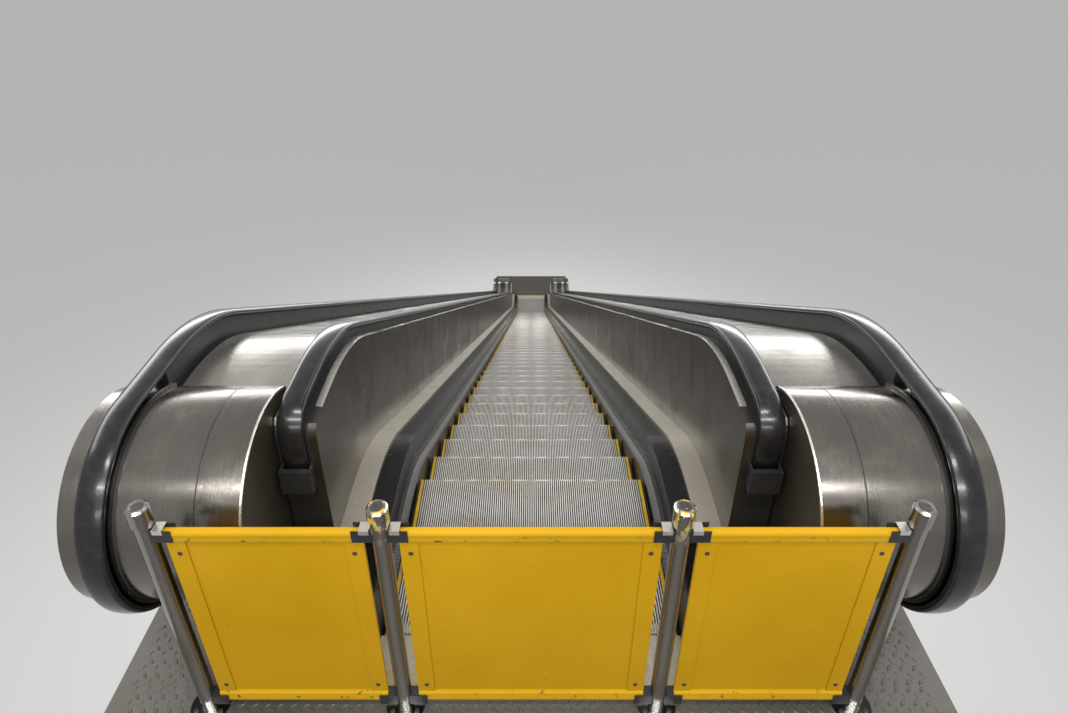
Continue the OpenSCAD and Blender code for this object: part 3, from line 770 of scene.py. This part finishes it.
@dataclass
class Handrails:
    """Smooth belts with a rounded section in place of the plain ones."""

    line: FlightLine
    width: float = 0.080
    thick: float = 0.028
    corners: int = 28
    crown: float = 0.6
    tail: float = 0.06

    def profile(self) -> list:
        """Outline of the belt as (outwards, across) with a rounded crown."""
        made = []
        for i in range(self.corners):
            a = 2 * math.pi * i / self.corners
            s = math.sin(a)
            out = math.copysign(abs(s) ** self.crown, s) * self.thick / 2
            made.append((out, self.width / 2 * math.cos(a)))
        return made

    @staticmethod
    def arc(centre: tuple, radius: float, start: float, turn: float, parts: int) -> list:
        """Points (y, z, tangent angle) of an arc about (y, z), with its angles in degrees."""
        angles = [math.radians(start) - math.radians(turn) * i / parts for i in range(parts + 1)]
        return [(centre[0] + radius * math.cos(a), centre[1] + radius * math.sin(a), a - math.pi / 2)
                for a in angles]

    def path(self, node: str, looped: bool) -> list:
        """Centre line (y, z, tangent angle) of a belt, from the box of the node it replaces."""
        low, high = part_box(node)
        lift = high.z - self.thick / 2 - self.line.z_top
        if not looped:
            return self.nosed(lift, low.y + self.thick / 2, high.y - self.thick / 2)
        back = low.z - self.line.z_low + self.thick / 2
        radius = (lift - back) / 2
        y_top = low.y + self.thick / 2 + radius
        y_low = high.y - self.thick / 2 - radius
        top, foot = (z + lift - radius for z in (self.line.z_top, self.line.z_low))
        made = [(y_top + self.tail, self.line.z_top + back, math.pi)]
        made += self.arc((y_top, top), radius, 270, 180, 32)
        made += self.line.points(lift, y_top, y_low)[1:-1]
        made += self.arc((y_low, foot), radius, 90, 180, 32)
        made.append((y_low - self.tail, self.line.z_low + back, -math.pi))
        return made

    def nosed(self, lift: float, y0: float, y1: float) -> list:
        """Centre line of a belt that runs down at y0 and y1, over both ends of its wall."""
        top, foot = (z + lift - NOSE_R for z in (self.line.z_top, self.line.z_low))
        made = [(y0, top - NOSE_DROP, math.pi / 2)]
        made += self.arc((y0 + NOSE_R, top), NOSE_R, 180, 90, 16)
        made += self.line.points(lift, y0 + NOSE_R, y1 - NOSE_R)[1:-1]
        made += self.arc((y1 - NOSE_R, foot), NOSE_R, 90, 90, 16)
        made.append((y1, foot - NOSE_DROP, -math.pi / 2))
        return made

    def build(self, shop: Workshop) -> None:
        """Make the four belts and let them replace the plain ones."""
        for name, looped in (("inner", False), ("outer", True)):
            for side in ("left", "right"):
                node = f"handrail_{name}_{side}"
                low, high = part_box(node)
                belt = sweep(self.profile(), (low.x + high.x) / 2, self.path(node, looped))
                mesh = mesh_from(belt, node, True)
                made = shop.piece(f"belt_{name}_{side}", mesh, "handrail_rubber")
                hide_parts(node)


@dataclass
class LandingPattern:
    """Raised lozenges on the landing plates."""

    pitch_x: float = 0.040
    pitch_y: float = 0.021
    half_long: float = 0.015
    half_wide: float = 0.006
    height: float = 0.0024
    margin: float = 0.03

    def lozenge(self, turn: float) -> Mesh:
        """Mesh of one lozenge with sloped sides, turned about Z by an angle in radians."""
        long, wide = self.half_long, self.half_wide

        def build(bm: BMesh) -> None:
            """Add a four-sided frustum, open at its foot."""
            rim = ((long, 0), (0, wide), (-long, 0), (0, -wide))
            outer = [bm.verts.new((x, y, 0)) for x, y in rim]
            inner = [bm.verts.new((x * 0.7, y * 0.6, self.height)) for x, y in rim]
            bm.faces.new(inner)
            skin(bm, outer, inner)
            bmesh.ops.rotate(bm, verts=bm.verts, matrix=Matrix.Rotation(turn, 3, "Z"))

        return mesh_from(build, "lozenge")

    def build(self, shop: Workshop, rows: Repeater) -> None:
        """Cover both landing plates, the main part and the wings beside the comb."""
        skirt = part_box("skirts")[1].x
        for place in ("upper", "lower"):
            low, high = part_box(f"landing_plate_{place}")
            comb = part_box(f"comb_{place}")
            upper = place == "upper"
            main = (low.y, comb[0].y) if upper else (comb[1].y, high.y)
            wing = (comb[0].y, high.y) if upper else (low.y, comb[1].y)
            self.cover(shop, rows, f"lozenges_{place}", (0.0,), high.x - low.x, main, high.z)
            middle = (skirt + high.x) / 2
            self.cover(shop, rows, f"lozenges_wing_{place}", (-middle, middle), high.x - skirt,
                       wing, high.z)

    def cover(self, shop: Workshop, rows: Repeater, name: str, middles: tuple, width: float,
              span: tuple, z: float) -> None:
        """Cover rectangles, given by their middles' x, width, first and last y, and top z.

        The two sets of lozenges are turned against each other.
        """
        count = int((width - 2 * self.margin) / self.pitch_x)
        lines = int((span[1] - span[0] - self.margin) / self.pitch_y)
        pitch = (span[1] - span[0]) / lines
        for odd, turn in ((0, math.radians(45)), (1, math.radians(-45))):
            points = [(x + self.pitch_x * (odd / 2 - 0.25), span[0] + (i + 0.5) * pitch, z)
                      for i in range(odd, lines, 2) for x in middles]
            rows.run(shop, f"{name}_{odd + 1}", points, self.lozenge(turn),
                     "floor_plate", count, self.pitch_x)


@dataclass
class Fasteners:
    """Screws, plugs, bolts and nuts, and the bright plates over the barrier's clips."""

    line: FlightLine
    screw_pitch: float = 0.35
    screw_inset: float = 0.014
    flange_ring: float = 0.72
    flange_top: float = 0.008
    base_top: float = 0.03
    plate_back: float = 0.0165
    plate_front: float = 0.015
    plate_drop: float = 0.012
    plate_top: float = 0.0015
    plate_near: float = 0.026
    plate_far: float = 0.052

    @staticmethod
    def head(radius: float, height: float, axis: tuple = (0, 0, 0), sides: int = 8) -> Mesh:
        """Mesh of a domed screw head with a socket, turned from +Z by Euler angles."""
        rings = ((1.0, 0.0), (0.92, 0.6), (0.62, 1.0), (0.38, 1.0), (0.34, 0.35))
        turns = [2 * math.pi * k / sides for k in range(sides)]

        def build(bm: BMesh) -> None:
            """Add rings from the rim to the socket's floor."""
            made = []
            for scale, lift in rings:
                r = radius * scale
                made.append([bm.verts.new((r * math.cos(a), r * math.sin(a), height * lift))
                             for a in turns])
            for first, second in zip(made, made[1:]):
                skin(bm, first, second)
            bm.faces.new(made[-1])
            bmesh.ops.transform(bm, matrix=Euler(axis).to_matrix().to_4x4(), verts=bm.verts)

        return mesh_from(build, "screw_head")

    def build(self, shop: Workshop, rows: Repeater, along: Repeater) -> None:
        """Place every group."""
        low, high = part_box("bevel_strips")
        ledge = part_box("inner_ledges")[1]
        path = self.line.points(ledge.z - self.line.z_top, low.y + 0.1, high.y - 0.1)
        for side, label in SIDES:
            points = [(side * (ledge.x - self.screw_inset), y, z) for y, z, _ in path]
            along.run(shop, f"ledge_screws_{label}", points, self.head(0.0055, 0.002, (-SLOPE, 0, 0)),
                      "screw_dark", 1, self.screw_pitch)
        self.board_screws(shop, rows)
        self.caps(shop, rows)
        self.clip_plates(shop)
        self.flanges(shop, rows)
        self.anchors(shop, rows)

    def board_screws(self, shop: Workshop, rows: Repeater) -> None:
        """Dark screws down the side strips of the barrier boards."""
        points = [(x, middle - BoardFolds.side_out, z) for low, high, middle in boards()
                  for x in (low.x + 0.027, high.x - 0.027)
                  for z in (low.z + 0.075, high.z - 0.085)]
        rows.run(shop, "board_screws", points, self.head(0.007, 0.003, (math.pi / 2, 0, 0)),
                 "screw_dark")

    @staticmethod
    def posts() -> tuple:
        """Return the posts' x places, their common y, their tops' height and the flange radius."""
        low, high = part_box("barrier_posts")
        radius = (high.y - low.y) / 2
        outer = high.x - radius
        inner = (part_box("barrier_board_centre")[1].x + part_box("barrier_board_right")[0].x) / 2
        return (-outer, -inner, inner, outer), (low.y + high.y) / 2, high.z, radius

    def caps(self, shop: Workshop, rows: Repeater) -> None:
        """Dark plugs in the tops of the posts."""
        places, middle, top, _ = self.posts()
        rows.run(shop, "cap_plugs", [(x, middle, top - HAIR) for x in places],
                 self.head(0.0185, 0.002, sides=24), "screw_dark")

    def clip_plates(self, shop: Workshop) -> None:
        """Bright angle plates over the clips, between post and board."""
        places, middle, _, _ = self.posts()
        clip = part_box("barrier_clips")[1].z
        back, front = middle - self.plate_back, middle + self.plate_front
        top, under, foot = clip + self.plate_top, clip + 0.0002, clip - self.plate_drop

        def plates(bm: BMesh) -> None:
            """Add one plate on each side of every post that carries a board."""
            outline = [(back, foot), (back, top), (front, top), (front, under),
                       (back + 0.0004, under), (back + 0.0004, foot)]
            for x in places:
                for side in (-1, 1):
                    near, far = x + side * self.plate_near, x + side * self.plate_far
                    if places[0] < far < places[-1]:
                        prism(bm, outline, min(near, far), max(near, far))

        shop.piece("clip_plates", mesh_from(plates, "clip_plates"), "bright_edge")

    def flanges(self, shop: Workshop, rows: Repeater) -> None:
        """Three bolts in each post's flange."""
        places, middle, _, radius = self.posts()
        ring = self.flange_ring * radius
        top = self.line.z_top + self.flange_top
        points = [(x + ring * math.cos(a), middle + ring * math.sin(a), top)
                  for x in places for a in (math.radians(90 + 120 * k) for k in range(3))]
        rows.run(shop, "flange_bolts", points, self.head(0.008, 0.005), "screw_dark")

    def anchors(self, shop: Workshop, rows: Repeater) -> None:
        """Nuts on the anchors of the trestle base plates."""
        points = []
        for mount in shop.frame["record"]["mounts"]:
            if mount["kind"] != "bolt_pattern":
                continue
            x, y, _ = mount["pos_m"]
            dx, dy = (mount["dims"][f"spacing_{axis}_mm"] / 2000 for axis in "xy")
            points += [(end * x + sx * dx, y + sy * dy, self.base_top)
                       for sx in (-1, 1) for sy in (-1, 1) for end in (1, -1)]
        rows.run(shop, "anchor_nuts", points, self.head(0.022, 0.02), "screw_dark")


@dataclass
class NewelTrim:
    """Bright rims of the drums' faces, and dark seams and seals round the drums."""

    segments: int = 96
    face_inset: float = 0.010
    face_gap: float = 0.0083
    groove_half: float = 0.046
    seam_share: float = 0.36
    seam_w: float = 0.004
    seal_w: float = 0.010

    def band(self, bm: BMesh, centre: tuple, rings: list, keep: object) -> None:
        """Add an open ring band through (x, radius) rings round X, where keep(y) holds."""
        y0, z0 = centre
        step = 2 * math.pi / self.segments
        for k in range(self.segments):
            angles = (k * step, (k + 1) * step)
            if not all(keep(y0 + rings[0][1] * math.cos(a)) for a in angles):
                continue
            cols = [[bm.verts.new((x, y0 + r * math.cos(a), z0 + r * math.sin(a))) for x, r in rings]
                    for a in angles]
            for i in range(len(rings) - 1):
                bm.faces.new((cols[0][i], cols[1][i], cols[1][i + 1], cols[0][i + 1]))

    def build(self, shop: Workshop) -> None:
        """Trim both pairs of drums."""
        face_low, face_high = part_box("newel_faces")
        rail_low, rail_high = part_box("handrail_outer_right")
        face_x = face_high.x - self.face_inset
        groove_in = (rail_low.x + rail_high.x) / 2 - self.groove_half
        seam_x = face_x + (groove_in - face_x) * self.seam_share
        spans = ((seam_x, seam_x + self.seam_w), (groove_in - self.seal_w, groove_in))
        for place in ("upper", "lower"):
            low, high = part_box(f"newel_drums_{place}")
            upper = place == "upper"
            hub = (high.z - low.z) / 2
            y0 = low.y + hub if upper else high.y - hub
            radius = (y0 - face_low.y if upper else face_high.y - y0) + self.face_gap
            centre = (y0, (low.z + high.z) / 2)
            edge = high.y - 0.002 if upper else low.y + 0.002
            keep = (lambda y, e=edge: y < e) if upper else (lambda y, e=edge: y > e)

            def rims(bm: BMesh) -> None:
                """Add the bright rims round the faces."""
                for s in (-1, 1):
                    x = s * face_x
                    rings = [(x + s * 0.0004, radius - 0.008), (x - s * 0.0012, radius - 0.0065),
                             (x - s * 0.0012, radius - 0.0012), (x, radius + HAIR),
                             (x + s * 0.005, radius + HAIR)]
                    self.band(bm, centre, rings, keep)

            def seams(bm: BMesh) -> None:
                """Add the dark joint rings and the seals beside the handrail."""
                for s in (-1, 1):
                    for x0, x1 in spans:
                        rings = [(s * x0, radius - 0.001), (s * x0, radius + 0.0006),
                                 (s * x1, radius + 0.0006), (s * x1, radius - 0.001)]
                        self.band(bm, centre, rings, keep)

            shop.piece(f"newel_rims_{place}", mesh_from(rims, "rims", True), "bright_edge")
            shop.piece(f"newel_seams_{place}", mesh_from(seams, "seams"), "core_black")


@dataclass
class BoardFolds:
    """Folded sides and rolled edges of the barrier boards."""

    side_out: ClassVar[float] = 0.0054
    side_w: float = 0.049
    side_end: float = 0.02
    roll: float = 0.043
    roll_out: float = 0.0102

    def build(self, shop: Workshop) -> None:
        """Fold all three boards."""
        def folds(bm: BMesh) -> None:
            """Add both side strips."""
            for low, high, y in boards():
                out, foot, top = y - self.side_out, low.z + self.side_end, high.z - self.side_end
                side = [(y, foot), (y, top), (out, top), (out, foot)]
                prism(bm, side, low.x + HAIR, low.x + self.side_w)
                prism(bm, side, high.x - self.side_w, high.x - HAIR)

        def rolls(bm: BMesh) -> None:
            """Add the turned edges along the top and bottom."""
            for low, high, y in boards():
                for z, d in ((high.z, -1), (low.z, 1)):
                    turned = [(y, z + d * 0.012), (y - 0.0125, z + d * 0.014),
                              (y - self.roll_out, z + d * (self.roll - 0.006)),
                              (y - self.side_out - 0.001, z + d * self.roll), (y, z + d * self.roll)]
                    prism(bm, turned, low.x + HAIR, high.x - HAIR)

        shop.piece("board_folds", mesh_from(folds, "board_folds"), "board_yellow")
        shop.piece("board_rolls", mesh_from(rolls, "board_rolls"), "roll_yellow")


@dataclass
class EdgeTrims:
    """Bright cut edges on top of the inner panels."""

    line: FlightLine
    height: float = 0.003
    inset: float = 0.001

    def build(self, shop: Workshop) -> None:
        """Lay one strip on each panel's top edge."""
        low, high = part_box("inner_panels_right")
        lift = high.z - self.line.z_top + self.height / 2
        half = (high.x - low.x) / 2 - self.inset
        outline = [(b * self.height / 2, a * half) for b, a in CORNERS]
        path = self.line.points(lift, low.y + 0.1, high.y - 0.1)
        for side, label in SIDES:
            mesh = mesh_from(sweep(outline, side * (low.x + high.x) / 2, path), "edge")
            shop.piece(f"panel_edge_{label}", mesh, "bright_edge")


@dataclass
class Studio:
    """Pale floor, soft lamps and the camera."""

    line: FlightLine
    behind: float = 1.23
    above: float = 2.198
    pitch: float = math.radians(28.5)
    focal_px: float = 690.0
    shift_y: float = -0.081
    frame_px: float = 1068.0
    middle_px: float = 531.0

    def floor(self) -> None:
        """Lay a large pale floor under the feet."""
        bpy.ops.mesh.primitive_plane_add(size=6000, location=(0, 0, -0.002))
        ground = bpy.context.object
        ground.name = "studio_floor"
        g = Graph("studio_pale")
        ground.data.materials.append(g.finish(Base_Color=(0.82, 0.82, 0.81), Roughness=0.85))

    def lamp(self, name: str, place: tuple, turn: tuple, size: tuple, power: float) -> None:
        """Hang one rectangular lamp."""
        data = bpy.data.lights.new(name, "AREA")
        data.shape = "RECTANGLE"
        data.size, data.size_y = size
        data.energy = power
        lamp = bpy.data.objects.new(name, data)
        lamp.location = place
        lamp.rotation_euler = turn
        bpy.context.scene.collection.objects.link(lamp)

    def lights(self) -> None:
        """Set a pale world, long soft lamps over the flight and strips over the landing."""
        world = bpy.data.worlds.new("studio_world")
        bpy.context.scene.world = world
        world.use_nodes = True
        sky = world.node_tree.nodes["Background"].inputs
        sky["Color"].default_value = (0.92, 0.92, 0.91, 1)
        sky["Strength"].default_value = 0.6
        mid_y = (self.line.meet_top + self.line.meet_low) / 2
        over = (self.line.z_top + self.line.z_low) / 2 + 6.5
        for name, x, turn in (("lamp_left", -4.5, -0.5), ("lamp_right", 4.5, 0.5)):
            self.lamp(name, (x, mid_y, over), (-SLOPE, turn, 0), (1.7, 24), 850)
        self.lamp("lamp_middle", (0, mid_y, over), (-SLOPE, 0, 0), (0.5, 22), 70)
        strips = (("lamp_front", 4.0, 2.4, 68, (4.4, 0.35), 50),
                  ("lamp_band", 2.9, 3.7, 42, (5.0, 0.2), 150),
                  ("lamp_landing", 2.0, 5.5, 12, (3.6, 0.5), 170))
        for name, back, up, tilt, size, power in strips:
            place = (0, self.line.comb_top - back, self.line.z_top + up)
            self.lamp(name, place, (math.radians(tilt), 0, 0), size, power)

    def camera(self) -> None:
        """Place the camera over the upper landing, looking down the flight."""
        data = bpy.data.cameras.new("view")
        data.sensor_width = SENSOR_MM
        data.lens = self.focal_px / self.frame_px * SENSOR_MM
        data.shift_y = self.shift_y
        data.shift_x = (self.frame_px / 2 - self.middle_px) / self.frame_px
        data.clip_end = 500
        camera = bpy.data.objects.new("view", data)
        low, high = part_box("barrier_posts")
        camera.location = (0, (low.y + high.y) / 2 - self.behind, self.line.z_top + self.above)
        camera.rotation_euler = (math.pi / 2 - self.pitch, 0, 0)
        bpy.context.scene.collection.objects.link(camera)
        bpy.context.scene.camera = camera
        bpy.context.scene.view_settings.view_transform = "Standard"

    def build(self) -> None:
        """Make the whole studio."""
        self.floor()
        self.lights()
        self.camera()


def main() -> None:
    """Dress the frame and add the fine pieces."""
    logging.basicConfig(level=logging.INFO, format="%(message)s")
    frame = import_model()
    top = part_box("landing_plate_upper")[1].z
    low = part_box("landing_plate_lower")[1].z
    combs = (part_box("comb_upper")[0].y + COMB_DEPTH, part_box("comb_lower")[1].y - COMB_DEPTH)
    line = FlightLine(top, low, *combs)
    Studio(line).build()
    shop = Workshop(frame)
    shop.dress_frame()
    rows = Repeater("rows_on_points").rows()
    along = Repeater("items_along_path").along()
    Treads(line).build(shop, rows)
    SkirtBrush(line).build(shop, along)
    Handrails(line).build(shop)
    LandingPattern().build(shop, rows)
    Fasteners(line).build(shop, rows, along)
    NewelTrim().build(shop)
    EdgeTrims(line).build(shop)
    BoardFolds().build(shop)
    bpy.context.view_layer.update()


if __name__ == "__main__":
    main()
